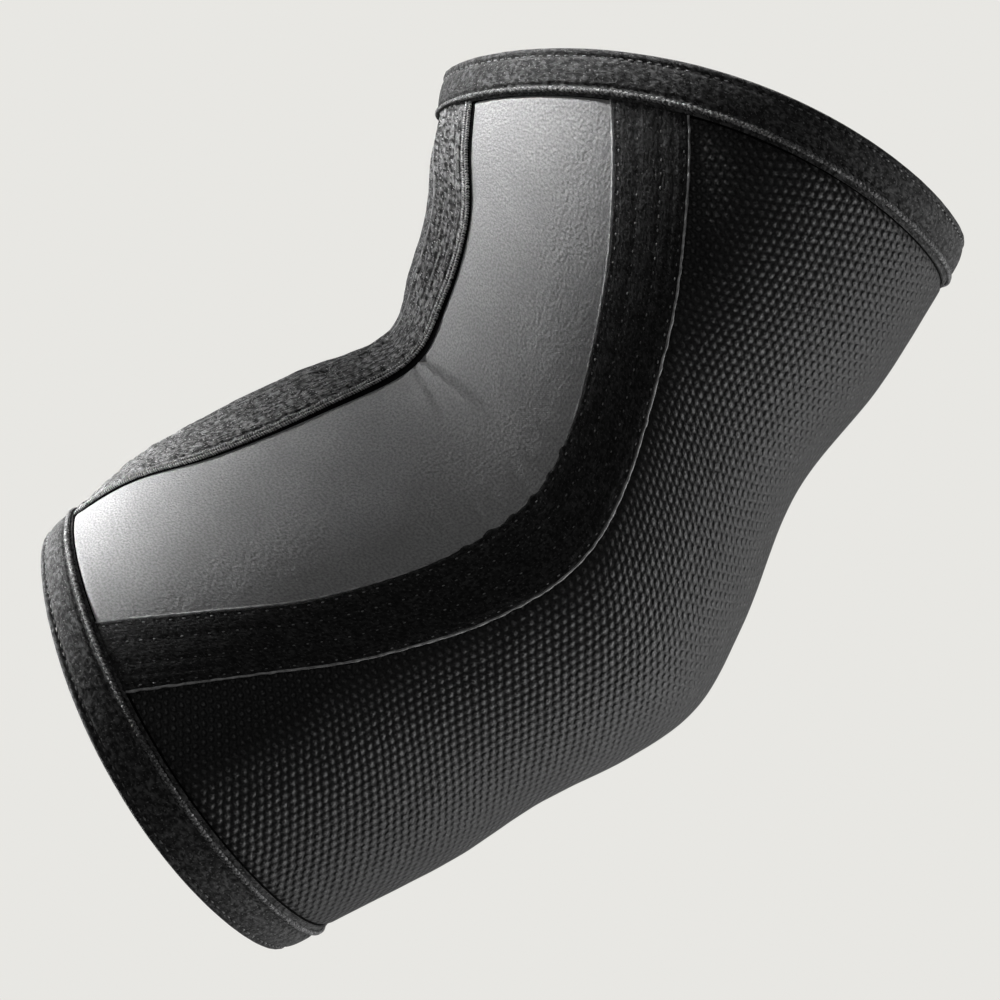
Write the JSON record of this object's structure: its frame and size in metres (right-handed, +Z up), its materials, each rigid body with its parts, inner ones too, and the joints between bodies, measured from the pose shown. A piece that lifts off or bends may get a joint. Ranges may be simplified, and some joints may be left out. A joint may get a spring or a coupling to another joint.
{
  "type": "elbow pad",
  "caption": "Slip-on compression elbow sleeve of laminated neoprene, pre-bent at the elbow, with contrasting side panels, taped seams and bound hems, lying on its side.",
  "frame": {"origin": "middle of the sleeve's outline in plan, on the surface it lies on", "axes": "+X towards the upper arm hem, -X towards the forearm hem, +Y towards the crook of the arm, +Z up, square to the plane of the bend"},
  "size_m": [0.2158, 0.1381, 0.0831],
  "materials": {
    "grey_jersey": "matt brushed grey jersey laminated on foam",
    "black_mesh": "black honeycomb knit with a low sheen",
    "charcoal_knit": "heathered charcoal folded knit tape",
    "neoprene_foam": "closed-cell foam, matt",
    "black_lining": "smooth black jersey lining"
  },
  "bodies": {
    "upper_section": {"crook_gusset_face": "charcoal_knit", "crook_gusset_foam_elbow": "neoprene_foam", "crook_gusset_foam_upper": "neoprene_foam", "crook_gusset_lining": "black_lining", "left_crook_tape": "charcoal_knit", "left_outer_tape": "charcoal_knit", "left_side_panel_face": "grey_jersey", "left_side_panel_foam_elbow": "neoprene_foam", "left_side_panel_foam_upper": "neoprene_foam", "left_side_panel_lining": "black_lining", "outer_panel_face": "black_mesh", "outer_panel_foam_elbow": "neoprene_foam", "outer_panel_foam_upper": "neoprene_foam", "outer_panel_lining": "black_lining", "right_crook_tape": "charcoal_knit", "right_outer_tape": "charcoal_knit", "right_side_panel_face": "grey_jersey", "right_side_panel_foam_elbow": "neoprene_foam", "right_side_panel_foam_upper": "neoprene_foam", "right_side_panel_lining": "black_lining", "upper_hem_binding": "charcoal_knit"},
    "forearm_section": {"crook_gusset_foam_forearm": "neoprene_foam", "forearm_hem_binding": "charcoal_knit", "left_side_panel_foam_forearm": "neoprene_foam", "outer_panel_foam_forearm": "neoprene_foam", "right_side_panel_foam_forearm": "neoprene_foam"}
  },
  "joints": [
    {"name": "elbow_flex", "type": "hinge", "parent": "upper_section", "child": "forearm_section", "pos_m": [0, -0.0102, 0.0396], "axis": [0, 0, -1], "range_deg": [-35, 60], "stiffness_Nm_per_rad": 0.05, "deforming": ["crook_gusset_face", "crook_gusset_foam_elbow", "crook_gusset_lining", "left_crook_tape", "left_outer_tape", "left_side_panel_face", "left_side_panel_foam_elbow", "left_side_panel_lining", "outer_panel_face", "outer_panel_foam_elbow", "outer_panel_lining", "right_crook_tape", "right_outer_tape", "right_side_panel_face", "right_side_panel_foam_elbow", "right_side_panel_lining"]}
  ]
}
